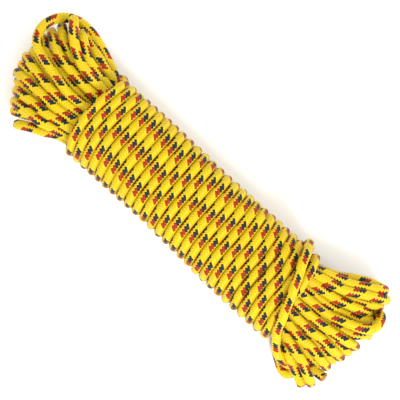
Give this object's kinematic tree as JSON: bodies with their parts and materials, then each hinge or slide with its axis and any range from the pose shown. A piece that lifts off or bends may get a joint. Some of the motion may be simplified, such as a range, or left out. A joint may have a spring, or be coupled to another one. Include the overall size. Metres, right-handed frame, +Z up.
{
  "type": "climbing rope",
  "caption": "Dynamic climbing rope made up as a flattened hank: long runs wrapped round the middle with the same rope, loops fanned out at both ends and one end tucked in",
  "frame": {"origin": "middle of the hank on the floor that it lies on", "axes": "+X along the hank towards the end where both rope ends are, +Y across it towards the small edge loops, +Z up"},
  "size_m": [0.438, 0.1291, 0.0893],
  "materials": {
    "rope": "braided polyamide sheath, yellow with red and dark blue tracers"
  },
  "bodies": {
    "root": {"run_bundle": "rope", "wrap_01": "rope", "wrap_02": "rope", "wrap_03": "rope", "wrap_04": "rope", "wrap_05": "rope", "wrap_06": "rope", "wrap_07": "rope", "wrap_08": "rope", "wrap_09": "rope", "wrap_10": "rope", "wrap_11": "rope", "wrap_12": "rope", "wrap_13": "rope", "wrap_14": "rope", "wrap_15": "rope", "wrap_16": "rope", "wrap_17": "rope", "wrap_18": "rope", "wrap_19": "rope", "wrap_20": "rope", "wrap_21": "rope", "wrap_22": "rope", "wrap_23": "rope", "wrap_24": "rope", "wrap_25": "rope", "wrap_26": "rope", "wrap_27": "rope", "finishing_strand": "rope", "left_loop_01": "rope", "left_loop_02": "rope", "left_loop_03": "rope", "left_loop_04": "rope", "left_loop_05": "rope", "left_loop_06": "rope", "left_loop_07": "rope", "left_loop_08": "rope", "left_loop_09": "rope", "left_loop_10": "rope", "left_loop_11": "rope", "left_loop_12": "rope", "left_loop_13": "rope", "left_loop_14": "rope", "left_loop_15": "rope", "right_loop_01": "rope", "right_loop_02": "rope", "right_loop_03": "rope", "right_loop_04": "rope", "right_loop_05": "rope", "right_loop_06": "rope", "right_loop_07": "rope", "right_loop_08": "rope", "right_loop_09": "rope", "right_loop_10": "rope", "right_loop_11": "rope", "right_loop_12": "rope", "right_loop_13": "rope", "right_loop_14": "rope", "starting_end": "rope", "floor_loop": "rope"}
  },
  "joints": []
}
